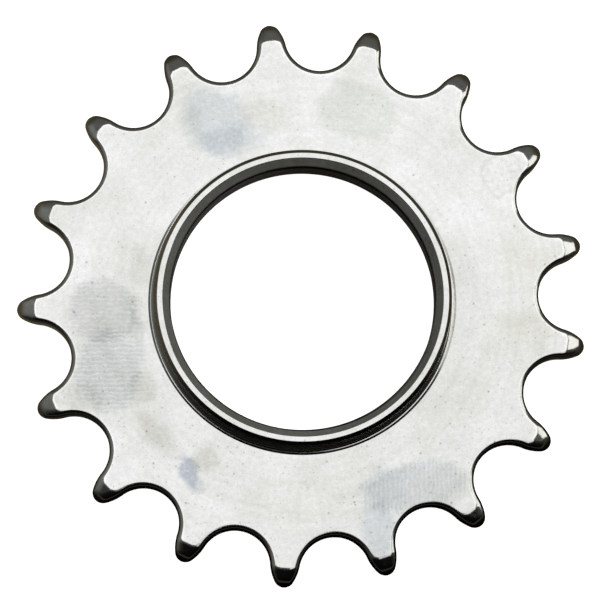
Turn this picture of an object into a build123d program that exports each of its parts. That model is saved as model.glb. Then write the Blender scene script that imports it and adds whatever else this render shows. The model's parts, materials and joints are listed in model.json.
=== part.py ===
from build123d import *
import math
import os

# One-piece steel sprocket for a half-inch bicycle chain, screwed onto a track hub.
# Millimetres. The origin is on the bore axis at the back face, the boss rises along +Z, and a tooth lies on +X.

# The chain that the teeth carry
chain_pitch = 12.7
roller_diameter = 7.77
tooth_count = 17

# Tooth outline, seen along the axis
gullet_clearance = 0.71  # how much wider the gullet's arc is than the roller
flank_radius = 6.2
flank_relief = 0.55  # how much smaller the nose's arc is than half the tooth between its gullets
tooth_rise = 2.49  # from the pitch circle to the tip

# Section of the toothed plate
plate_thickness = 3.0
side_reach = 2.3  # how far in from the tips the sides start to fall away
side_angle = 14.0
side_blend = 2.4  # radius between the flat face and that slope
tip_land = 0.6  # width left standing at the very tip
rim_turn = 80.0  # slope, in degrees, that the rounded rim has where it meets the tip wall
edge_radius = 0.6  # rounding left by tumbling on every tooth edge

# Threaded bore, taken at the thread's crests
bore_radius = 17.1
front_lead_in = 0.97
back_lead_in = 1.2

# Boss around the bore
boss_wall = 2.1
boss_height = 4.75
boss_chamfer = 0.43
foot_radius = 0.55
undercut_width = 0.2
undercut_depth = 0.08

# Sizes that follow from the ones above
half_tooth_angle = 180 / tooth_count
pitch_radius = chain_pitch / (2 * math.sin(math.radians(half_tooth_angle)))
root_radius = pitch_radius - roller_diameter / 2
tip_radius = pitch_radius + tooth_rise
gullet_radius = roller_diameter / 2 + gullet_clearance
boss_radius = bore_radius + boss_wall
top = plate_thickness + boss_height
level_tolerance = 1e-6  # how level a face's normal is when the face stands upright


def mirrored(point):
    """The same point on the other side of the tooth that lies on +X."""
    return Vector(point.X, -point.Y)


def tooth_corners():
    """Ends and middle of the flank of the tooth on +X, where its arcs meet smoothly."""
    gullet = Vector(root_radius + gullet_radius, 0).rotate(Axis.Z, half_tooth_angle)
    nose_radius = gullet.Y - gullet_radius - flank_relief
    nose = Vector(tip_radius - nose_radius, 0)

    # The flank's arc touches the nose from outside it and the gullet from across the outline
    across = gullet - nose
    to_nose = flank_radius - nose_radius
    to_gullet = flank_radius + gullet_radius
    along = (to_nose**2 - to_gullet**2 + across.length**2) / (2 * across.length)
    aside = math.sqrt(to_nose**2 - along**2)
    direction = across.normalized()
    flank = nose + direction * along + direction.rotate(Axis.Z, 90) * aside

    nose_end = flank + (nose - flank).normalized() * flank_radius
    gullet_end = flank + (gullet - flank).normalized() * flank_radius
    middle = flank + ((nose_end + gullet_end) / 2 - flank).normalized() * flank_radius
    return nose_end, middle, gullet_end


def tooth_outline():
    """The closed outline of all the teeth: flank, nose, flank and gullet, once for each tooth."""
    nose_end, middle, gullet_end = tooth_corners()
    step = 2 * half_tooth_angle
    tip = Vector(tip_radius, 0)
    root = Vector(root_radius, 0).rotate(Axis.Z, half_tooth_angle)
    next_gullet_end = mirrored(gullet_end).rotate(Axis.Z, step)
    arcs = (
        (mirrored(gullet_end), mirrored(middle), mirrored(nose_end)),
        (mirrored(nose_end), tip, nose_end),
        (nose_end, middle, gullet_end),
        (gullet_end, root, next_gullet_end),
    )
    edges = []
    for tooth in range(tooth_count):
        for arc in arcs:
            edges.append(ThreePointArc(*[point.rotate(Axis.Z, tooth * step) for point in arc]))
    return make_face(edges)


def rim_side(face_height, inward):
    """Side of the teeth, from the flat face out to the tip: a blend, a shallow cone and a rounded rim.

    inward is -1 for the front face and 1 for the back one.
    """
    slope = math.radians(side_angle)
    turn = math.radians(rim_turn)
    fall = (plate_thickness - tip_land) / 2
    rim_radius = (fall - side_reach * math.tan(slope)) / (
        math.cos(slope) - math.cos(turn) - (math.sin(turn) - math.sin(slope)) * math.tan(slope)
    )
    crease = tip_radius - side_reach
    blend_start = crease - side_blend * math.tan(slope / 2)
    rim_start = tip_radius - rim_radius * (math.sin(turn) - math.sin(slope))
    rim_drop = (rim_start - crease) * math.tan(slope)

    def on_blend(angle):
        return (
            blend_start + side_blend * math.sin(angle),
            face_height + inward * side_blend * (1 - math.cos(angle)),
        )

    def on_rim(angle):
        return (
            rim_start + rim_radius * (math.sin(angle) - math.sin(slope)),
            face_height + inward * (rim_drop + rim_radius * (math.cos(slope) - math.cos(angle))),
        )

    blend = ThreePointArc(on_blend(0), on_blend(slope / 2), on_blend(slope))
    cone = Line(on_blend(slope), on_rim(slope))
    rim = ThreePointArc(on_rim(slope), on_rim((slope + math.pi / 2) / 2), on_rim(math.pi / 2))
    return [blend, cone, rim]


def turned_section():
    """Half section of the turned blank, with the radius along X and the height along Y."""
    back = rim_side(0, 1)
    front = rim_side(plate_thickness, -1)
    groove_bottom = plate_thickness - undercut_depth
    foot_outer = boss_radius + foot_radius
    foot_middle = foot_radius * (1 - math.sqrt(0.5))
    corners = [
        (boss_radius, groove_bottom + foot_radius),
        (boss_radius, top - boss_chamfer),
        (boss_radius - boss_chamfer, top),
        (bore_radius + front_lead_in, top),
        (bore_radius, top - front_lead_in),
        (bore_radius, back_lead_in),
        (bore_radius + back_lead_in, 0),
        back[0] @ 0,
    ]
    foot = ThreePointArc(
        (foot_outer, groove_bottom),
        (boss_radius + foot_middle, groove_bottom + foot_middle),
        corners[0],
    )
    face = Polyline(front[0] @ 0, (foot_outer + undercut_width, plate_thickness), (foot_outer, groove_bottom))
    turned_edge = Line(back[2] @ 1, front[2] @ 1)
    return make_face([*back, turned_edge, *front, *face.edges(), foot, *Polyline(*corners).edges()])


def is_tooth_wall(face):
    """Whether a face stands upright outside the boss, as the wall that the outline cuts does."""
    centre = face.center()
    upright = abs(face.normal_at().Z) < level_tolerance
    return upright and math.hypot(centre.X, centre.Y) > boss_radius


def cog():
    """The blank is turned, the teeth are cut through its rim, and then their edges are rounded."""
    blank = revolve(Plane.XZ * turned_section(), Axis.Z)
    toothed = blank & extrude(tooth_outline(), top)
    walls = toothed.faces().filter_by(is_tooth_wall)
    tooth_edges = [edge for wall in walls for edge in wall.edges().filter_by(Axis.Z, reverse=True)]
    return fillet(tooth_edges, edge_radius)


os.makedirs("parts", exist_ok=True)
export_step(cog(), "parts/cog.step")
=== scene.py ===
import json
import math

import bmesh
import bpy
from mathutils import Matrix, Vector


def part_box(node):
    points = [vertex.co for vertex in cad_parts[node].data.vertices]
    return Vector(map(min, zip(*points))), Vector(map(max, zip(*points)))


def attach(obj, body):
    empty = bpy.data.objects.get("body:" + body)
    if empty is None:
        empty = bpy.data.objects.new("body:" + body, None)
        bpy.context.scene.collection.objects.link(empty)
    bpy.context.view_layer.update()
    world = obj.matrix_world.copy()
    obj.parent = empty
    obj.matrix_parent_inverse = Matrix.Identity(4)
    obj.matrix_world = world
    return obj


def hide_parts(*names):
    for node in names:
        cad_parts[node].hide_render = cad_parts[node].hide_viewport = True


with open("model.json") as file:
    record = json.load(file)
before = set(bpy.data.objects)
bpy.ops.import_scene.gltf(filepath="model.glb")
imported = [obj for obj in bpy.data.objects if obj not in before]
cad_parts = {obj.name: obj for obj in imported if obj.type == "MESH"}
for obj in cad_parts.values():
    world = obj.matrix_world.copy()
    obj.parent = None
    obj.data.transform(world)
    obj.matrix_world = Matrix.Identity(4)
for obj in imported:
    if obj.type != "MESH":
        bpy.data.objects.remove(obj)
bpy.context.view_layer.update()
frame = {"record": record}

mm = 0.001

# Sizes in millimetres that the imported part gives
mounts = {mount["name"]: mount for mount in frame["record"]["mounts"]}
toothCount = mounts["chain_teeth"]["dims"]["count"]
pitchRadius = mounts["chain_teeth"]["dims"]["pcd_mm"] / 2
boreRadius = mounts["hub_thread"]["dims"]["r_mm"]
plateThickness = mounts["front_face"]["pos_m"][2] / mm
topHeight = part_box("cog")[1].z / mm
halfTooth = math.pi / toothCount  # angle from a tooth's middle to the gullet's


def hexColour(code):
    # sRGB hex to the linear values that the shaders use
    channels = [int(code[i : i + 2], 16) / 255 for i in (1, 3, 5)]
    linear = [c / 12.92 if c <= 0.04045 else ((c + 0.055) / 1.055) ** 2.4 for c in channels]
    return (*linear, 1.0)


def addNode(tree, kind, settings=None, links=None):
    # one node, its settings by property or socket name, and what feeds its sockets
    node = tree.nodes.new(kind)
    for name, value in (settings or {}).items():
        if isinstance(name, str) and hasattr(node, name):
            setattr(node, name, value)
        else:
            node.inputs[name].default_value = value
    for name, source in (links or {}).items():
        socket = source.outputs[0] if isinstance(source, bpy.types.Node) else source
        tree.links.new(socket, node.inputs[name])
    return node


def newMaterial(name):
    material = bpy.data.materials.new(name)
    material.use_nodes = True
    material.node_tree.nodes.clear()
    return material, material.node_tree


# Camera, fitted to the outline of the teeth and the rings of the boss in the photo
view = {
    "roll": math.radians(12.159),  # the tooth on +X shows this far above the photo's horizontal
    "tilt": math.radians(-8.122),  # lean from straight above, about the photo's level line
    "lean": math.radians(0.846),  # and about its upright line
    "aimX": -0.338,  # place of the bore axis beside the camera's, in mm
    "aimY": 0.440,
    "distance": 500,
    "pixelsPerMm": 7.715,  # on the plate's face
    "imageSize": 610,
    "sensor": 36,
    "clipStart": 0.01,  # metres
}


# Tooth form in mm, the same for all seventeen teeth
tooth = {
    "rollerDiameter": 7.77,
    "gulletClearance": 0.71,  # the gullet's arc is this much wider than the roller
    "flankRadius": 6.2,
    "flankRelief": 0.55,  # the nose's arc is this much smaller than half the tooth between its gullets
    "rise": 2.49,  # from the pitch circle to the tip
    "sideReach": 2.3,  # the sides fall away this far in from the tips
    "sideAngle": math.radians(14),
    "sideBlend": 2.4,
    "tipLand": 0.6,
    "rimTurn": math.radians(60),
    "edgeRadius": 0.6,  # rounding from tumbling
    "noseEdgeRadius": 0.8,
    "edgeSteps": 9,
    "sagReach": 1.25,  # the face starts to sink very slightly this far from the wall
    "sagSlope": 0.03,  # how steep the sink has become at the rounding
    "cornerSlope": 0.16,  # the same at the corners beside the side's slope, which wore more
    "cornerStart": 1.4,  # the corners start this far inside the side's slope
    "sagSteps": 4,
    "ballTries": 50,  # places tried for the ball that rounds the edge
    "noseSteps": 8,
    "capSteps": 3,
    "flankSteps": 18,
    "shoulderTurn": math.radians(14),  # the gullet's first stretch, still beside the tooth
    "shoulderSteps": 8,
    "gulletSteps": 12,
    "columns": 5,
    "webRadius": 28.8,  # where the teeth's part of the face meets the turned part
    "webSteps": 8,
}

# How near two places are the same, in mm
nearness = {"line": 1e-6, "cut": 1e-5, "halves": 1e-4, "parts": 1e-3, "level": 0.01, "circle": 0.02}

tipRadius = pitchRadius + tooth["rise"]
rootRadius = pitchRadius - tooth["rollerDiameter"] / 2
gulletRadius = tooth["rollerDiameter"] / 2 + tooth["gulletClearance"]


def toothCentres():
    # centres of the arcs of the tooth on +X, for its upper half
    flankRadius = tooth["flankRadius"]
    out = rootRadius + gulletRadius
    gullet = Vector((out * math.cos(halfTooth), out * math.sin(halfTooth), 0))
    noseRadius = gullet.y - gulletRadius - tooth["flankRelief"]
    nose = Vector((tipRadius - noseRadius, 0, 0))
    across = gullet - nose
    toNose = flankRadius - noseRadius
    toGullet = flankRadius + gulletRadius
    along = (toNose**2 - toGullet**2 + across.length**2) / (2 * across.length)
    aside = math.sqrt(toNose**2 - along**2)
    direction = across.normalized()
    sideways = Vector((-direction.y, direction.x, 0))
    flank = nose + direction * along + sideways * aside
    return nose, noseRadius, flank, gullet


def bearing(centre, point):
    return math.atan2(point.y - centre.y, point.x - centre.x)


def sideHeight(radius):
    # front side of the teeth: flat, a blend, a shallow cone and a rounded rim
    slope = tooth["sideAngle"]
    turn = tooth["rimTurn"]
    blend = tooth["sideBlend"]
    fall = (plateThickness - tooth["tipLand"]) / 2
    crease = tipRadius - tooth["sideReach"]
    blendStart = crease - blend * math.tan(slope / 2)
    rimRadius = (fall - tooth["sideReach"] * math.tan(slope)) / (
        math.cos(slope) - math.cos(turn) - (math.sin(turn) - math.sin(slope)) * math.tan(slope)
    )
    rimStart = tipRadius - rimRadius * (math.sin(turn) - math.sin(slope))
    if radius <= blendStart:
        drop = 0
    elif radius <= blendStart + blend * math.sin(slope):
        drop = blend - math.sqrt(blend**2 - (radius - blendStart) ** 2)
    elif radius <= rimStart:
        drop = (radius - crease) * math.tan(slope)
    else:
        sine = min(1, math.sin(slope) + (radius - rimStart) / rimRadius)
        drop = (rimStart - crease) * math.tan(slope) + rimRadius * (
            math.cos(slope) - math.sqrt(1 - sine**2)
        )
    return plateThickness - drop


def edgeBall(radius):
    # the rounding grows from the gullets to the tips
    share = (radius - rootRadius) / (tipRadius - rootRadius)
    return tooth["edgeRadius"] + (tooth["noseEdgeRadius"] - tooth["edgeRadius"]) * share


def sag(depth, radius):
    # how far the face has sunk at this depth behind the wall
    reach = tooth["sagReach"]
    span = reach - tooth["edgeRadius"]
    crease = tipRadius - tooth["sideReach"]
    share = min(1, max(0, (radius - crease + tooth["cornerStart"]) / tooth["cornerStart"]))
    slope = tooth["sagSlope"] + tooth["cornerSlope"] * share**2
    return slope * max(0, reach - depth) ** 2 / (2 * span)


def roundedHeight(outlinePoint, outward, depth):
    # height at a depth behind the tooth's wall, with the edge rounded by a ball that rolls along it
    ball = edgeBall(outlinePoint.length)
    tries = tooth["ballTries"]
    gaps = []
    for i in range(tries + 1):
        behind = ball * i / tries
        lift = math.sqrt(ball**2 - (ball - behind) ** 2)
        radius = (outlinePoint - outward * behind).length
        surface = sideHeight(radius) - sag(behind, radius)
        gaps.append((surface - lift, behind))
    centreHeight, touch = min(gaps)
    if depth < touch:
        return centreHeight + math.sqrt(ball**2 - (ball - depth) ** 2)
    radius = (outlinePoint - outward * depth).length
    return sideHeight(radius) - sag(depth, radius)


def setHeight(vertex, centre, outwardSign, depth):
    flat = Vector((vertex.co.x, vertex.co.y, 0))
    outward = (flat - centre).normalized() * outwardSign
    vertex.co.z = roundedHeight(flat + outward * depth, outward, depth)


def vertsIn(geometry):
    return [item for item in geometry if isinstance(item, bmesh.types.BMVert)]


def spinVertex(bm, vertex, centre, turn, steps, outwardSign, depth):
    # spins a vertex into an arc of the outline and sets the height of each new vertex
    vertsBefore = set(bm.verts)
    edgesBefore = set(bm.edges)
    spun = bmesh.ops.spin(
        bm, geom=[vertex], cent=centre, axis=(0, 0, 1), dvec=(0, 0, 0), angle=turn, steps=steps
    )
    for new in [v for v in bm.verts if v not in vertsBefore]:
        setHeight(new, centre, outwardSign, depth)
    return vertsIn(spun["geom_last"])[0], [edge for edge in bm.edges if edge not in edgesBefore]


def toothChain(bm, depth):
    # half the tooth's outline, moved into the metal by depth: nose, flank, shoulder and gullet
    nose, noseRadius, flank, gullet = toothCentres()
    noseTurn = bearing(flank, nose)
    flankTurn = bearing(flank, gullet) - noseTurn
    shoulderTurn = tooth["shoulderTurn"]
    start = bm.verts.new((nose.x + noseRadius - depth, 0, 0))
    setHeight(start, nose, 1, depth)
    noseEnd, noseEdges = spinVertex(bm, start, nose, noseTurn, tooth["noseSteps"], 1, depth)
    flankEnd, flankEdges = spinVertex(bm, noseEnd, flank, flankTurn, tooth["flankSteps"], 1, depth)
    gulletStart = bearing(gullet, flankEnd.co)
    gulletStop = bearing(gullet, Vector((0, 0, 0)))
    gulletTurn = (gulletStop - gulletStart) % (-2 * math.pi)
    shoulderEnd, shoulderEdges = spinVertex(
        bm, flankEnd, gullet, -shoulderTurn, tooth["shoulderSteps"], -1, depth
    )
    root, gulletEdges = spinVertex(
        bm, shoulderEnd, gullet, gulletTurn + shoulderTurn, tooth["gulletSteps"], -1, depth
    )
    return {
        "all": noseEdges + flankEdges + shoulderEdges + gulletEdges,
        "nose": noseEdges,
        "besideTooth": flankEdges + shoulderEdges,
        "gullet": gulletEdges,
        "start": start,
        "root": root,
    }


def roundToothEdge(bm):
    # nested outlines over the rounding and the sunk strip, and the wall down to the middle of the plate
    ball = tooth["noseEdgeRadius"]
    steps = tooth["edgeSteps"]
    depths = [ball * (1 - math.cos(math.pi / 2 * i / steps)) for i in range(steps + 1)]
    for i in range(tooth["sagSteps"]):
        depths.append(ball + (tooth["sagReach"] - ball) * (i + 1) / tooth["sagSteps"])
    chains = [toothChain(bm, depth) for depth in depths]
    for outer, inner in zip(chains, chains[1:]):
        bmesh.ops.bridge_loops(bm, edges=outer["all"] + inner["all"])
    wall = bmesh.ops.extrude_edge_only(bm, edges=chains[0]["all"])
    for vertex in vertsIn(wall["geom"]):
        vertex.co.z = plateThickness / 2
    return chains[-1]


def fillTooth(bm, inner):
    # rows across the tooth, from the inner outline to the centre line, and a cap at the nose
    near = nearness["line"]
    noseX = sorted({v.co.x for edge in inner["nose"] for v in edge.verts}, reverse=True)
    capX = noseX[tooth["capSteps"]]
    capEdges = [edge for edge in inner["nose"] if min(v.co.x for v in edge.verts) > capX - near]
    row = [edge for edge in inner["nose"] if edge not in capEdges] + inner["besideTooth"]
    for columnsLeft in range(tooth["columns"], 0, -1):
        grown = bmesh.ops.extrude_edge_only(bm, edges=row)["geom"]
        newVerts = vertsIn(grown)
        for vertex in newVerts:
            vertex.co.y *= (columnsLeft - 1) / columnsLeft
            vertex.co.z = sideHeight(math.hypot(vertex.co.x, vertex.co.y))
        grownEdges = [item for item in grown if isinstance(item, bmesh.types.BMEdge)]
        row = [edge for edge in grownEdges if all(v in newVerts for v in edge.verts)]

    rowVerts = {v for edge in row for v in edge.verts}
    tipMost = max(rowVerts, key=lambda v: v.co.x)
    baseMost = min(rowVerts, key=lambda v: v.co.x)
    openEdges = [edge for edge in bm.edges if len(edge.link_faces) == 1]
    tipRow = [edge for edge in openEdges if all(abs(v.co.x - tipMost.co.x) < near for v in edge.verts)]
    baseRow = [edge for edge in openEdges if all(abs(v.co.x - baseMost.co.x) < near for v in edge.verts)]
    capLine = bm.edges.new((inner["start"], tipMost))
    bmesh.ops.contextual_create(bm, geom=capEdges + tipRow + [capLine])
    return baseMost, baseRow


def fillWeb(bm, inner, baseMost, baseRow):
    # the flat face between the tooth and the turned part
    web = tooth["webRadius"]
    corner = bm.verts.new((web * math.cos(halfTooth), web * math.sin(halfTooth), plateThickness))
    sideLine = bm.edges.new((inner["root"], corner))
    edgesBefore = set(bm.edges)
    spun = bmesh.ops.spin(
        bm,
        geom=[corner],
        cent=(0, 0, 0),
        axis=(0, 0, 1),
        dvec=(0, 0, 0),
        angle=-halfTooth,
        steps=tooth["webSteps"],
    )
    arc = [edge for edge in bm.edges if edge not in edgesBefore]
    centreLine = bm.edges.new((vertsIn(spun["geom_last"])[0], baseMost))
    bmesh.ops.contextual_create(bm, geom=inner["gullet"] + [sideLine] + arc + [centreLine] + baseRow)


def buildTooth(bm):
    # front half of one half tooth, then mirrored to the whole tooth
    inner = roundToothEdge(bm)
    baseMost, baseRow = fillTooth(bm, inner)
    fillWeb(bm, inner, baseMost, baseRow)
    halves = nearness["halves"]
    bmesh.ops.mirror(bm, geom=bm.verts[:] + bm.edges[:] + bm.faces[:], axis="Y", merge_dist=halves)
    bmesh.ops.mirror(
        bm,
        geom=bm.verts[:] + bm.edges[:] + bm.faces[:],
        matrix=Matrix.Translation((0, 0, -plateThickness / 2)),
        axis="Z",
        merge_dist=halves,
    )


# Turned parts, in mm
boss = {
    "wall": 2.1,
    "chamfer": 0.43,
    "footRadius": 0.5,
    "footSteps": 8,
    "undercutWidth": 0.28,
    "undercutDepth": 0.09,
    "frontLeadIn": 0.97,
    "backLeadIn": 1.2,
    "edgeBreak": 0.05,
    "leadInStep": 0.2,  # depth of the turned first strip of each lead-in
    "joinGap": 0.1,  # depth of the strip between it and the part cut through the thread
}


def spinSection(bm, points):
    # a full turn of an open section
    verts = [bm.verts.new((radius, 0, height)) for radius, height in points]
    edges = [bm.edges.new(pair) for pair in zip(verts, verts[1:])]
    bmesh.ops.spin(
        bm,
        geom=verts + edges,
        cent=(0, 0, 0),
        axis=(0, 0, 1),
        dvec=(0, 0, 0),
        angle=2 * math.pi,
        steps=toothCount * 2 * tooth["webSteps"],
        use_merge=True,
    )


def buildTurned(bm):
    # the face around the boss with its groove, the boss, and the first strips of the lead-ins
    bossRadius = boreRadius + boss["wall"]
    foot = boss["footRadius"]
    grooveHeight = plateThickness - boss["undercutDepth"]
    footOuter = bossRadius + foot
    step = boss["leadInStep"]
    ringInner = boreRadius + boss["frontLeadIn"]
    small = boss["edgeBreak"]
    section = [(tooth["webRadius"], plateThickness), (footOuter + boss["undercutWidth"], plateThickness)]
    for i in range(boss["footSteps"] + 1):
        angle = math.pi / 2 * i / boss["footSteps"]
        section.append((footOuter - foot * math.sin(angle), grooveHeight + foot * (1 - math.cos(angle))))
    section += [
        (bossRadius, topHeight - boss["chamfer"] - small),
        (bossRadius - small / 2, topHeight - boss["chamfer"] + small / 3),
        (bossRadius - boss["chamfer"] + small / 3, topHeight - small / 2),
        (bossRadius - boss["chamfer"] - small, topHeight),
        (ringInner + small, topHeight),
        (ringInner - small / 3, topHeight - small / 2),
        (ringInner - step, topHeight - step),
    ]
    spinSection(bm, section)
    backInner = boreRadius + boss["backLeadIn"]
    spinSection(bm, [(tooth["webRadius"], 0), (backInner, 0), (backInner - step, step)])


# Thread for the hub: right-hand, 24 turns to the inch
thread = {
    "pitch": 25.4 / 24,
    "majorRadius": 17.4625,
    "rootFlat": 25.4 / 24 / 8,
    "flankSlope": math.tan(math.radians(30)),
    "crestSteps": 4,
    "steps": 272,
}


def buildThread(bm):
    # one turn of the section, stacked, then cut by the lead-ins
    pitch = thread["pitch"]
    major = thread["majorRadius"]
    middle = (boreRadius + major) / 2
    flank = (major - boreRadius) * thread["flankSlope"]
    crest = pitch - thread["rootFlat"] - 2 * flank
    section = [(boreRadius, crest * i / thread["crestSteps"]) for i in range(thread["crestSteps"] + 1)]
    section += [
        (middle, crest + flank / 2),
        (major, crest + flank),
        (major, pitch - flank),
        (middle, pitch - flank / 2),
        (boreRadius, pitch),
    ]
    verts = [bm.verts.new((radius, 0, height - 2 * pitch)) for radius, height in section]
    edges = [bm.edges.new(pair) for pair in zip(verts, verts[1:])]
    bmesh.ops.spin(
        bm,
        geom=verts + edges,
        cent=(0, 0, 0),
        axis=(0, 0, 1),
        dvec=(0, 0, pitch / thread["steps"]),
        angle=2 * math.pi,
        steps=thread["steps"],
    )
    turn = bm.verts[:] + bm.edges[:] + bm.faces[:]
    for i in range(math.ceil(topHeight / pitch) + 2):
        turn = bmesh.ops.duplicate(bm, geom=turn)["geom"]
        bmesh.ops.translate(bm, vec=(0, 0, pitch), verts=vertsIn(turn))
    bmesh.ops.remove_doubles(bm, verts=bm.verts, dist=nearness["halves"])

    # the lead-ins run out through the thread
    for vertex in bm.verts:
        radius = math.hypot(vertex.co.x, vertex.co.y)
        front = boreRadius + boss["frontLeadIn"] - (topHeight - vertex.co.z)
        back = boreRadius + boss["backLeadIn"] - vertex.co.z
        wanted = max(radius, front, back)
        vertex.co.x *= wanted / radius
        vertex.co.y *= wanted / radius
    margin = boss["leadInStep"] + boss["joinGap"]
    for height, side in ((topHeight - margin, 1), (margin, -1)):
        bmesh.ops.bisect_plane(
            bm,
            geom=bm.verts[:] + bm.edges[:] + bm.faces[:],
            dist=nearness["cut"],
            plane_co=(0, 0, height),
            plane_no=(0, 0, side),
            clear_outer=True,
        )


def isOnCircle(vertex, radius, height):
    offCircle = abs(math.hypot(vertex.co.x, vertex.co.y) - radius)
    return abs(vertex.co.z - height) < nearness["level"] and offCircle < nearness["circle"]


def openLoop(bm, radius, height):
    # open edges of a level circle
    openEdges = [edge for edge in bm.edges if len(edge.link_faces) == 1]
    return [edge for edge in openEdges if all(isOnCircle(v, radius, height) for v in edge.verts)]


def joinPart(bm, build):
    # builds a part by itself, which is quick, and adds it to the whole
    part = bmesh.new()
    build(part)
    carrier = bpy.data.meshes.new("carrier")
    part.to_mesh(carrier)
    part.free()
    bm.from_mesh(carrier)
    bpy.data.meshes.remove(carrier)


def joinLeadIns(bm):
    # one strip from the turned part of each lead-in to the part cut through the thread
    step = boss["leadInStep"]
    margin = step + boss["joinGap"]
    front = boreRadius + boss["frontLeadIn"]
    back = boreRadius + boss["backLeadIn"]
    for radius, height, inward in ((front, topHeight, -1), (back, 0, 1)):
        turned = openLoop(bm, radius - step, height + inward * step)
        cut = openLoop(bm, radius - margin, height + inward * margin)
        bmesh.ops.bridge_loops(bm, edges=turned + cut)


def orderFaces(bm):
    # sorts the faces by their corners, because spinning makes them in an order that changes each run
    bm.verts.index_update()
    ordered = sorted(bm.faces, key=lambda face: sorted(vertex.index for vertex in face.verts))
    for i, face in enumerate(ordered):
        face.index = i
    bm.faces.sort()


def buildCog():
    bm = bmesh.new()
    buildTooth(bm)
    bmesh.ops.spin(
        bm,
        geom=bm.verts[:] + bm.edges[:] + bm.faces[:],
        cent=(0, 0, 0),
        axis=(0, 0, 1),
        dvec=(0, 0, 0),
        angle=2 * math.pi * (toothCount - 1) / toothCount,
        steps=toothCount - 1,
        use_duplicate=True,
    )
    joinPart(bm, buildTurned)
    bmesh.ops.remove_doubles(bm, verts=bm.verts, dist=nearness["parts"])
    joinPart(bm, buildThread)
    joinLeadIns(bm)
    bmesh.ops.recalc_face_normals(bm, faces=bm.faces)
    for face in bm.faces:
        face.smooth = True
    bmesh.ops.scale(bm, vec=(mm, mm, mm), verts=bm.verts)
    openEdges = sum(1 for edge in bm.edges if len(edge.link_faces) != 2)
    print("cog mesh:", len(bm.faces), "faces, open edges", openEdges)

    orderFaces(bm)
    mesh = bpy.data.meshes.new("toothedCog")
    bm.to_mesh(mesh)
    bm.free()
    # the groove beside the boss slopes by 17.8 degrees and has to stay crisp
    mesh.set_sharp_from_angle(angle=math.radians(16))
    piece = bpy.data.objects.new("toothedCog", mesh)
    bpy.context.scene.collection.objects.link(piece)
    return piece


# Marks and patches of painted shade on the front face, placed in mm from the bore axis, in the photo's
# directions, x right and y up
marksAndShade = {
    "fingerUpper": {
        "centre": (-25.7, -1.3), "radii": (5.5, 4.8), "turn": -10,
        "tint": "#E5E6E7", "edge": 0.35, "ridges": 0.6,
    },
    "fingerRim": {
        "centre": (-21.6, -3.0), "radii": (1.3, 5.0), "turn": 12,
        "tint": "#ECEDED", "edge": 0.7, "ridges": 0.4,
    },
    "fingerLower": {
        "centre": (-25.0, -8.9), "radii": (5.3, 6.3), "turn": 0,
        "tint": "#E2E5E7", "edge": 0.4, "ridges": 0.9,
    },
    "fingerSide": {
        "centre": (-20.8, -11.4), "radii": (2.1, 2.6), "turn": 20,
        "tint": "#EDEDEB", "edge": 0.4, "ridges": 0.7,
    },
    "fingerFoot": {
        "centre": (-28.3, -12.6), "radii": (3.8, 2.6), "turn": -25,
        "tint": "#ECECE9", "edge": 0.6, "ridges": 0.4,
    },
    "thumbLow": {
        "centre": (14.5, -24.0), "radii": (8.6, 3.8), "turn": 8,
        "tint": "#E7EAED", "edge": 0.4, "across": 0.8,
    },
    "thumbLeft": {
        "centre": (10.6, -24.4), "radii": (4.0, 3.8), "turn": 0,
        "tint": "#F0F2F4", "edge": 0.6, "across": 0.2,
    },
    "thumbTooth": {
        "centre": (9.9, -29.6), "radii": (3.0, 4.4), "turn": 12,
        "tint": "#E8ECF1", "edge": 0.5, "across": 0.2,
    },
    "smearTopLeft": {
        "centre": (-11.4, 23.9), "radii": (6.4, 5.0), "turn": -45,
        "tint": "#E3E7EA", "edge": 0.5,
    },
    "smearTopLeftLow": {
        "centre": (-9.3, 21.2), "radii": (6.2, 2.8), "turn": 10,
        "tint": "#ECEFF2", "edge": 0.6,
    },
    "smearBesideTop": {
        "centre": (-5.0, 24.6), "radii": (4.6, 2.8), "turn": -8,
        "tint": "#F1F0EC", "edge": 0.6,
    },
    "smearTop": {
        "centre": (7.0, 25.4), "radii": (5.8, 4.4), "turn": -10,
        "tint": "#F4F5F3", "edge": 0.25, "ridges": 0.4,
    },
    "blueSpot": {
        "centre": (-14.5, -22.3), "radii": (3.4, 1.9), "turn": -66,
        "tint": "#CBD0DB", "edge": 0.7,
    },
    "oliveStreak": {
        "centre": (-18.8, -17.2), "radii": (5.4, 2.4), "turn": -46,
        "tint": "#EBEAE6", "edge": 0.7,
    },
    "oliveSpot": {
        "centre": (-12.7, -20.4), "radii": (2.9, 2.6), "turn": 20,
        "tint": "#E8E7E2", "edge": 0.8,
    },
    "besideBoss": {
        "centre": (-21.3, 4.4), "radii": (1.8, 5.0), "turn": -8,
        "tint": "#F3F2F0", "edge": 0.8,
    },
    # Painted shade: the face made darker toward the right and the bottom, where the light falls off
    "paintedShadeRight": {
        "centre": (28.6, 5.6), "radii": (6.4, 5.0), "turn": -10,
        "tint": "#F9F8F4", "edge": 0.9,
    },
    "paintedShadeRightLow": {
        "centre": (28.4, -3.4), "radii": (6.0, 4.4), "turn": -10,
        "tint": "#F8F7F3", "edge": 0.9,
    },
    "paintedShadeLowRight": {
        "centre": (18.0, -15.0), "radii": (9.0, 6.0), "turn": 30,
        "tint": "#F8F8F6", "edge": 0.9,
    },
    "paintedShadeBottom": {
        "centre": (-1.0, -26.0), "radii": (12.0, 8.0), "turn": 0,
        "tint": "#F8F8F5", "edge": 0.9,
    },
    "paintedShadeBesideBoss": {
        "centre": (21.0, 0.0), "radii": (4.0, 12.0), "turn": 0,
        "tint": "#FAFAFA", "edge": 0.9,
    },
    "ringStain": {
        "centre": (26.0, 16.8), "radii": (3.2, 3.2), "turn": 0,
        "tint": "#C9C7BE", "edge": 0.3, "rim": True,
    },
}

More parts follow.
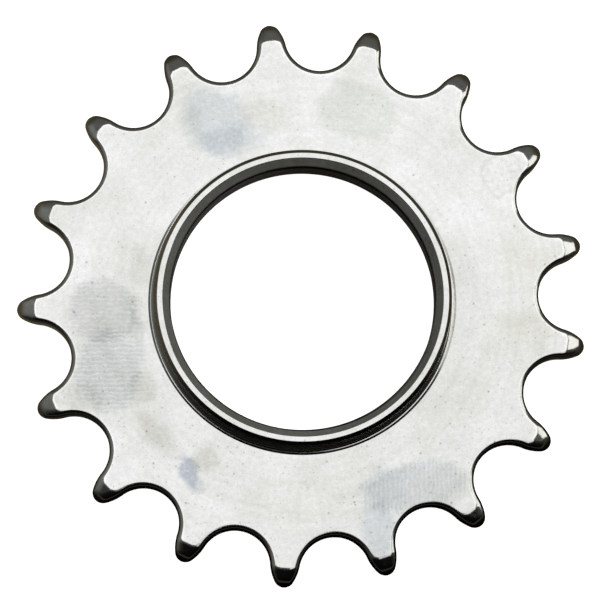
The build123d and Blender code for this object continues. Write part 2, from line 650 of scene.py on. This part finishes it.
# Skin ridges in those marks that ask for them: level in the left prints, upright in the lower right one
skin = {
    "ridges": "Y",
    "across": "X",
    "pitch": 0.58,  # mm, a little coarser than real ones, so that it shows in the render
    "distortion": 6.0,
    "detail": 2.0,
    "detailScale": 1.3,
    "roughness": 0.7,
}

# The plating itself, sizes in mm
plating = {
    "colour": "#E9E9EA",
    "clouds": [
        {"tint": "#F2F2EE", "size": 11.0, "detail": 2, "low": 0.35, "high": 0.7},
        {"tint": "#F3F4F2", "size": 2.5, "detail": 4, "low": 0.35, "high": 0.8},
        {"tint": "#EEEFEE", "size": 0.6, "detail": 3, "low": 0.3, "high": 0.75},
        {"tint": "#F7F7F7", "size": 0.2, "detail": 1, "low": 0.35, "high": 0.7},
    ],
    "cloudRoughness": 0.62,
    "wanderDetail": 3.0,
    "turning": {"tint": "#F7F7F5", "size": 1.2, "detail": 2, "low": 0.45, "high": 0.75},
    "turningSweep": 1.8,  # how long the turning's arcs are, in their own widths for a radian
    "blotches": {"size": 0.6, "detail": 3, "low": 0.25, "high": 0.75},
    "blotchShare": (0.55, 1.45),  # strength of a mark where its blotches are thin and full
    "wander": 2.2,  # how far the marks' borders wander
    "wanderSize": 2.0,
    "faceDepth": (0.4, 0.2),  # the marks fade in between these depths below the face
    "specks": [
        {"tint": "#BFBFBD", "spacing": 1.3, "size": 0.16, "share": 1.0},
        {"tint": "#D4D5D4", "spacing": 0.65, "size": 0.24, "share": 0.9},
    ],
    "speckShare": (0.2, 0.9),  # share of the specks kept at the photo's top and bottom
    "speckHeights": (20.0, -15.0),
    "roughness": 0.12,
}

# The bore: a lead-in that is coarse from turning, and below it the thread. Painted shade darkens the
# lead-in and the thread, and a dark painted shadow lies on the thread's first turn
bore = {
    "radius": 18.04,  # mm, out to where these shades reach
    "border": 0.02,
    "leadInPaintedShade": "#E4E4E1",
    "firstTurnPaintedShadows": ("#505050", "#404040"),
    "threadPaintedShade": "#C4C4C4",
    "threadTop": 6.78,  # height of the first crest, in mm
    "paintedShadeStops": (-0.2, -0.17, -0.01, 0.02),  # from there, in shares of the cog's height
    "roughness": 0.95,
}


def markMask(tree, coords, mark):
    # a soft-edged ellipse, 1 inside and 0 outside
    placed = addNode(
        tree,
        "ShaderNodeMapping",
        {
            "vector_type": "TEXTURE",
            "Location": (*mark["centre"], 0),
            "Rotation": (0, 0, math.radians(mark["turn"])),
            "Scale": (*mark["radii"], 1),
        },
        {"Vector": coords},
    )
    ball = addNode(tree, "ShaderNodeTexGradient", {"gradient_type": "SPHERICAL"}, {"Vector": placed})
    return addNode(
        tree,
        "ShaderNodeMapRange",
        {"interpolation_type": "SMOOTHSTEP", "From Max": mark["edge"]},
        {"Value": ball.outputs["Fac"]},
    )


def cloudMask(tree, coords, cloud):
    # fractal noise, spread to run from 0 to 1
    noise = addNode(
        tree,
        "ShaderNodeTexNoise",
        {"Scale": 1 / cloud["size"], "Detail": cloud["detail"], "Roughness": plating["cloudRoughness"]},
        {"Vector": coords},
    )
    return addNode(
        tree,
        "ShaderNodeMapRange",
        {"From Min": cloud["low"], "From Max": cloud["high"]},
        {"Value": noise},
    )


def cloudLayers(tree, solid, radius, angle):
    # clouds in the plating, and faint arcs left by the turning under it
    layers = [(cloud["tint"], cloudMask(tree, solid, cloud)) for cloud in plating["clouds"]]
    swept = addNode(
        tree, "ShaderNodeMath", {"operation": "MULTIPLY", 1: plating["turningSweep"]}, {0: angle}
    )
    arcs = addNode(tree, "ShaderNodeCombineXYZ", links={"X": radius, "Y": swept})
    layers.append((plating["turning"]["tint"], cloudMask(tree, arcs, plating["turning"])))
    return layers


def marksAndShadeLayers(tree, flat, front):
    # prints, smears and patches of painted shade, with wandering borders and blotchy insides
    wander = addNode(
        tree,
        "ShaderNodeTexNoise",
        {"Scale": 1 / plating["wanderSize"], "Detail": plating["wanderDetail"]},
        {"Vector": flat},
    )
    reach = plating["wander"]
    shift = addNode(
        tree,
        "ShaderNodeVectorMath",
        {"operation": "MULTIPLY_ADD", 1: (reach, reach, 0), 2: (-reach / 2, -reach / 2, 0)},
        {0: wander.outputs["Color"]},
    )
    wandering = addNode(tree, "ShaderNodeVectorMath", {"operation": "ADD"}, {0: flat, 1: shift})
    thin, full = plating["blotchShare"]
    blotches = cloudMask(tree, flat, plating["blotches"])
    patchy = addNode(
        tree, "ShaderNodeMath", {"operation": "MULTIPLY_ADD", 1: full - thin, 2: thin}, {0: blotches}
    )
    ridges = {}
    for kind in ("ridges", "across"):
        ridges[kind] = addNode(
            tree,
            "ShaderNodeTexWave",
            {
                "wave_type": "BANDS",
                "bands_direction": skin[kind],
                "Scale": math.pi / 10 / skin["pitch"],  # it repeats every tenth of pi at a scale of 1
                "Distortion": skin["distortion"],
                "Detail": skin["detail"],
                "Detail Scale": skin["detailScale"],
                "Detail Roughness": skin["roughness"],
            },
            {"Vector": flat},
        ).outputs["Fac"]

    layers = []
    for mark in marksAndShade.values():
        mask = markMask(tree, wandering, mark)
        mask = addNode(tree, "ShaderNodeMath", {"operation": "MULTIPLY"}, {0: mask, 1: patchy})
        if "rim" in mark:  # only the ring where the mask is half full
            inside = addNode(tree, "ShaderNodeMath", {"operation": "SUBTRACT", 0: 1.0}, {1: mask})
            mask = addNode(tree, "ShaderNodeMath", {"operation": "MULTIPLY"}, {0: mask, 1: inside})
        for kind, lines in ridges.items():
            if kind in mark:
                depth = mark[kind]
                gaps = addNode(
                    tree,
                    "ShaderNodeMath",
                    {"operation": "MULTIPLY_ADD", 1: -depth, 2: 1 + depth / 2},
                    {0: lines},
                )
                mask = addNode(tree, "ShaderNodeMath", {"operation": "MULTIPLY"}, {0: mask, 1: gaps})
        mask = addNode(tree, "ShaderNodeMath", {"operation": "MULTIPLY"}, {0: mask, 1: front})
        layers.append((mark["tint"], mask))
    return layers


def speckLayers(tree, flat, upward, front):
    # small dark specks, more of them toward the photo's bottom
    few, many = plating["speckShare"]
    fewAt, manyAt = plating["speckHeights"]
    kept = addNode(
        tree,
        "ShaderNodeMapRange",
        {"From Min": fewAt, "From Max": manyAt, "To Min": few, "To Max": many},
        {"Value": upward},
    )
    layers = []
    for specks in plating["specks"]:
        cells = addNode(tree, "ShaderNodeTexVoronoi", {"Scale": 1 / specks["spacing"]}, {"Vector": flat})
        chance = addNode(tree, "ShaderNodeSeparateXYZ", links={"Vector": cells.outputs["Color"]})
        share = addNode(tree, "ShaderNodeMath", {"operation": "MULTIPLY", 1: specks["share"]}, {0: kept})
        some = addNode(
            tree, "ShaderNodeMath", {"operation": "LESS_THAN"}, {0: chance.outputs["X"], 1: share}
        )
        dot = addNode(
            tree,
            "ShaderNodeMapRange",
            {"From Min": specks["size"], "From Max": specks["size"] / 3},
            {"Value": cells.outputs["Distance"]},
        )
        mask = dot
        for factor in (some, chance.outputs["Y"], front):
            mask = addNode(tree, "ShaderNodeMath", {"operation": "MULTIPLY"}, {0: mask, 1: factor})
        layers.append((specks["tint"], mask))
    return layers


def paintedBoreShade(tree, height):
    # painted shade of the bore's wall by its height: a dimmed lead-in, a dark painted shadow on the
    # thread's first turn and a darker thread below
    share = addNode(tree, "ShaderNodeMath", {"operation": "DIVIDE", 1: topHeight}, {0: height})
    ramp = addNode(tree, "ShaderNodeValToRGB", links={"Fac": share})
    threadTop = bore["threadTop"] / topHeight
    threadEnd, shadowLow, shadowHigh, leadIn = [threadTop + stop for stop in bore["paintedShadeStops"]]
    low, high = bore["firstTurnPaintedShadows"]
    paintedShades = ramp.color_ramp.elements
    paintedShades[0].position, paintedShades[0].color = threadEnd, hexColour(bore["threadPaintedShade"])
    paintedShades[1].position, paintedShades[1].color = leadIn, hexColour(bore["leadInPaintedShade"])
    paintedShades.new(shadowLow).color = hexColour(low)
    paintedShades.new(shadowHigh).color = hexColour(high)
    return ramp


def steelAndPaintedShadeMaterial():
    # satin nickel-plated steel: the plating gives a bright, faintly cloudy mirror, and handling has left
    # fingerprints, smears and specks on its face; painted shade darkens the face toward the right and
    # the bottom, and the bore's wall
    material, tree = newMaterial("satinNickelPlatedSteelAndPaintedShade")
    place = addNode(tree, "ShaderNodeTexCoord")
    inMm = (1 / mm, 1 / mm, 1 / mm)
    solid = addNode(
        tree, "ShaderNodeVectorMath", {"operation": "MULTIPLY", 1: inMm}, {0: place.outputs["Object"]}
    )
    turned = addNode(
        tree,
        "ShaderNodeMapping",
        {"vector_type": "POINT", "Rotation": (0, 0, view["roll"])},
        {"Vector": solid},
    )
    axes = addNode(tree, "ShaderNodeSeparateXYZ", links={"Vector": turned})
    flat = addNode(tree, "ShaderNodeVectorMath", {"operation": "MULTIPLY", 1: (1, 1, 0)}, {0: turned})
    radius = addNode(tree, "ShaderNodeVectorMath", {"operation": "LENGTH"}, {0: flat}).outputs["Value"]
    angle = addNode(
        tree, "ShaderNodeMath", {"operation": "ARCTAN2"}, {0: axes.outputs["Y"], 1: axes.outputs["X"]}
    )
    fadeFrom, fadeTo = [plateThickness - depth for depth in plating["faceDepth"]]
    front = addNode(
        tree,
        "ShaderNodeMapRange",
        {"From Min": fadeFrom, "From Max": fadeTo},
        {"Value": axes.outputs["Z"]},
    )

    # each layer multiplies the plating's colour by its tint
    colour = addNode(tree, "ShaderNodeRGB")
    colour.outputs[0].default_value = hexColour(plating["colour"])
    layers = cloudLayers(tree, solid, radius, angle)
    layers += marksAndShadeLayers(tree, flat, front)
    layers += speckLayers(tree, flat, axes.outputs["Y"], front)
    for tint, mask in layers:
        colour = addNode(
            tree,
            "ShaderNodeMix",
            {"data_type": "RGBA", "blend_type": "MULTIPLY", 7: hexColour(tint)},
            {0: mask, 6: colour},
        ).outputs[2]

    # Painted shade inside the bore: the colour there is multiplied by the shade by height, and the same
    # mask makes the bore rough
    inBore = addNode(
        tree,
        "ShaderNodeMapRange",
        {"From Min": bore["radius"] + bore["border"], "From Max": bore["radius"] - bore["border"]},
        {"Value": radius},
    )
    shaded = addNode(
        tree,
        "ShaderNodeMix",
        {"data_type": "RGBA", "blend_type": "MULTIPLY"},
        {0: inBore, 6: colour, 7: paintedBoreShade(tree, axes.outputs["Z"])},
    )
    coarse = addNode(
        tree,
        "ShaderNodeMapRange",
        {"To Min": plating["roughness"], "To Max": bore["roughness"]},
        {"Value": inBore},
    )
    shader = addNode(
        tree,
        "ShaderNodeBsdfPrincipled",
        {"Metallic": 1.0},
        {"Base Color": shaded.outputs[2], "Roughness": coarse},
    )
    addNode(tree, "ShaderNodeOutputMaterial", links={"Surface": shader})
    return material


cog = buildCog()
cog.data.materials.append(steelAndPaintedShadeMaterial())
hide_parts("cog")
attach(cog, "root")
print("cog done")


def addCamera():
    turn = Matrix.Rotation(view["tilt"], 3, "X") @ Matrix.Rotation(view["lean"], 3, "Y")
    pose = Matrix.Rotation(-view["roll"], 3, "Z") @ turn.transposed()
    data = bpy.data.cameras.new("camera")
    data.sensor_width = view["sensor"]
    data.lens = view["pixelsPerMm"] * view["distance"] / view["imageSize"] * view["sensor"]
    data.clip_start = view["clipStart"]
    camera = bpy.data.objects.new("camera", data)
    fromFace = pose @ Vector((-view["aimX"], -view["aimY"], view["distance"]))
    place = fromFace + Vector((0, 0, plateThickness))
    camera.matrix_world = Matrix.Translation(place * mm) @ pose.to_4x4()
    bpy.context.scene.collection.objects.link(camera)
    bpy.context.scene.camera = camera


addCamera()
print("camera done")

# Lit panels overhead, in metres and in the photo's own directions, x to the right and y up.
# Smaller ones add light toward the far end and the sides of the main one.
panels = {
    "panel": {"low": (-0.18, -0.056), "high": (0.25, 0.285), "height": 0.56, "radiance": 1.08},
    "panelFoot": {"low": (0.04, -0.155), "high": (0.25, -0.056), "height": 0.56, "radiance": 1.0},
    "panelFootDim": {"low": (-0.18, -0.16), "high": (0.04, -0.056), "height": 0.56, "radiance": 0.03},
    "panelUpper": {"low": (-0.18, 0.09), "high": (0.25, 0.285), "height": 0.559, "radiance": 0.05},
    "panelTop": {"low": (-0.18, 0.18), "high": (0.25, 0.285), "height": 0.558, "radiance": 0.3},
    "panelLeft": {"low": (-0.18, -0.03), "high": (-0.1, 0.18), "height": 0.558, "radiance": 0.25},
    "panelRight": {"low": (0.11, -0.04), "high": (0.25, 0.18), "height": 0.558, "radiance": 0.25},
}

# A window to the right, which lights the slopes of the teeth on that side
window = {"place": (0.44, 0.10, 0.38), "size": (0.28, 0.46), "radiance": 1.22, "tint": "#FFFEF8"}


def photoSpace(place):
    return Matrix.Rotation(-view["roll"], 3, "Z") @ Vector(place)


def addLamp(name, pose, size, radiance, tint="#FFFFFF"):
    data = bpy.data.lights.new(name, "AREA")
    data.shape = "RECTANGLE"
    data.size, data.size_y = size
    data.energy = radiance * math.pi * data.size * data.size_y
    data.color = hexColour(tint)[:3]
    lamp = bpy.data.objects.new(name, data)
    lamp.matrix_world = pose
    lamp.visible_camera = False
    bpy.context.scene.collection.objects.link(lamp)


def addPanels():
    for name, panel in panels.items():
        low = Vector(panel["low"])
        high = Vector(panel["high"])
        middle = (low + high) / 2
        place = photoSpace((middle.x, middle.y, panel["height"]))
        pose = Matrix.Translation(place) @ Matrix.Rotation(-view["roll"], 4, "Z")
        addLamp(name, pose, high - low, panel["radiance"])


def addWindow():
    place = photoSpace(window["place"])
    pose = Matrix.Translation(place) @ place.to_track_quat("Z", "Y").to_matrix().to_4x4()
    addLamp("window", pose, window["size"], window["radiance"], window["tint"])


addPanels()
addWindow()

# The dim room and table that the bright steel mirrors, so that its slopes, walls and edges show dark
darkRoom = {
    "radius": 2.0,
    "tableRadius": 1.9,
    "tableDrop": 0.00002,
    # glow of the walls by direction, in degrees anticlockwise from the photo's right
    "glow": {
        0: 0.10,
        30: 0.13,
        100: 0.13,
        118: 0.11,
        132: 0.13,
        146: 0.24,
        165: 0.20,
        188: 0.18,
        209: 0.045,
        222: 0.012,
        235: 0.004,
        264: 0.0022,
        310: 0.0018,
        322: 0.005,
        332: 0.014,
        345: 0.06,
    },
    # least glow of the walls by height, the sine of the angle above the table
    "lowGlow": {0.15: 0.0, 0.21: 0.06, 0.38: 0.06, 0.44: 0.0},
    "tableTint": "#AFA184",
    "wallTint": "#F8FAF2",
    "wallHeight": 0.75,  # sine of the height at which the walls have lost the table's tint
}


def stageMesh(name, bm, material):
    # a thing of the studio, which isn't part of the cog
    mesh = bpy.data.meshes.new(name)
    bm.to_mesh(mesh)
    bm.free()
    mesh.materials.append(material)
    thing = bpy.data.objects.new(name, mesh)
    bpy.context.scene.collection.objects.link(thing)
    return thing


def discMesh(radius, drop):
    # a flat disc, a little below the cog
    bm = bmesh.new()
    bmesh.ops.create_circle(bm, cap_ends=True, segments=96, radius=radius)
    bmesh.ops.translate(bm, vec=(0, 0, -drop), verts=bm.verts)
    return bm


def onlyMirrored(thing):
    # reflections see it, and nothing else does
    thing.visible_camera = False
    thing.visible_diffuse = False
    thing.visible_transmission = False
    thing.visible_volume_scatter = False
    thing.visible_shadow = False


def setGreys(elements, ends, greys):
    # grey stops of a ramp, with one value at both its ends
    elements[0].position, elements[1].position = 0, 1
    elements[0].color = elements[1].color = (ends, ends, ends, 1)
    for position, grey in greys:
        elements.new(position).color = (grey, grey, grey, 1)


def dimGlow():
    material, tree = newMaterial("dimRoomGlow")
    place = addNode(tree, "ShaderNodeTexCoord")
    turned = addNode(
        tree,
        "ShaderNodeMapping",
        {"vector_type": "POINT", "Rotation": (0, 0, view["roll"])},
        {"Vector": place.outputs["Object"]},
    )
    direction = addNode(tree, "ShaderNodeTexGradient", {"gradient_type": "RADIAL"}, {"Vector": turned})
    around = addNode(tree, "ShaderNodeValToRGB", links={"Fac": direction.outputs["Fac"]})
    stops = sorted((((degrees / 360) + 0.5) % 1, glow) for degrees, glow in darkRoom["glow"].items())
    setGreys(around.color_ramp.elements, (stops[0][1] + stops[-1][1]) / 2, stops)

    outward = addNode(
        tree, "ShaderNodeVectorMath", {"operation": "NORMALIZE"}, {0: place.outputs["Object"]}
    )
    height = addNode(tree, "ShaderNodeSeparateXYZ", links={"Vector": outward}).outputs["Z"]
    low = addNode(tree, "ShaderNodeValToRGB", links={"Fac": height})
    setGreys(low.color_ramp.elements, 0, darkRoom["lowGlow"].items())
    strength = addNode(tree, "ShaderNodeMath", {"operation": "MAXIMUM"}, {0: around, 1: low})

    up = addNode(tree, "ShaderNodeMapRange", {"From Max": darkRoom["wallHeight"]}, {"Value": height})
    tint = addNode(tree, "ShaderNodeValToRGB", links={"Fac": up})
    tint.color_ramp.elements[0].color = hexColour(darkRoom["tableTint"])
    tint.color_ramp.elements[1].color = hexColour(darkRoom["wallTint"])
    glow = addNode(tree, "ShaderNodeEmission", links={"Color": tint, "Strength": strength})
    addNode(tree, "ShaderNodeOutputMaterial", links={"Surface": glow})
    return material


def addDarkRoom():
    material = dimGlow()
    bm = bmesh.new()
    bmesh.ops.create_uvsphere(bm, u_segments=64, v_segments=32, radius=darkRoom["radius"])
    for face in bm.faces:
        face.smooth = True
    onlyMirrored(stageMesh("dimRoom", bm, material))
    table = discMesh(darkRoom["tableRadius"], darkRoom["tableDrop"])
    onlyMirrored(stageMesh("darkTable", table, material))


addDarkRoom()

# White paper under the cog
floor = {
    "radius": 3.0,
    "drop": 0.00005,
    "paper": "#F4F4F4",
    "glow": 0.9,  # added for the camera and for reflections, where the paper shows pure white
}


def paperMaterial():
    # matt uncoated paper: no gloss, and it keeps the cog's shadow
    material, tree = newMaterial("whitePaperFloor")
    paper = addNode(tree, "ShaderNodeBsdfDiffuse", {"Color": hexColour(floor["paper"])})
    glow = addNode(tree, "ShaderNodeEmission", {"Strength": floor["glow"]})
    path = addNode(tree, "ShaderNodeLightPath")
    seen = addNode(
        tree,
        "ShaderNodeMath",
        {"operation": "MAXIMUM"},
        {0: path.outputs["Is Camera Ray"], 1: path.outputs["Is Glossy Ray"]},
    )
    seenThrough = addNode(
        tree,
        "ShaderNodeMath",
        {"operation": "MAXIMUM"},
        {0: seen, 1: path.outputs["Is Transmission Ray"]},
    )
    both = addNode(tree, "ShaderNodeAddShader", links={0: paper, 1: glow})
    mixed = addNode(tree, "ShaderNodeMixShader", links={0: seenThrough, 1: paper, 2: both})
    addNode(tree, "ShaderNodeOutputMaterial", links={"Surface": mixed})
    return material


stageMesh("floor", discMesh(floor["radius"], floor["drop"]), paperMaterial())

# Even light from all around for the paper; the steel mirrors the dim room instead
surround = {"grey": 0.5}


def addSurround():
    world = bpy.data.worlds.new("studioWorld")
    bpy.context.scene.world = world
    world.use_nodes = True
    tree = world.node_tree
    tree.nodes.clear()
    grey = surround["grey"]
    background = addNode(tree, "ShaderNodeBackground", {"Color": (grey, grey, grey, 1.0)})
    addNode(tree, "ShaderNodeOutputWorld", links={"Surface": background})


addSurround()
bpy.context.scene.view_settings.view_transform = "Standard"
print("studio done")
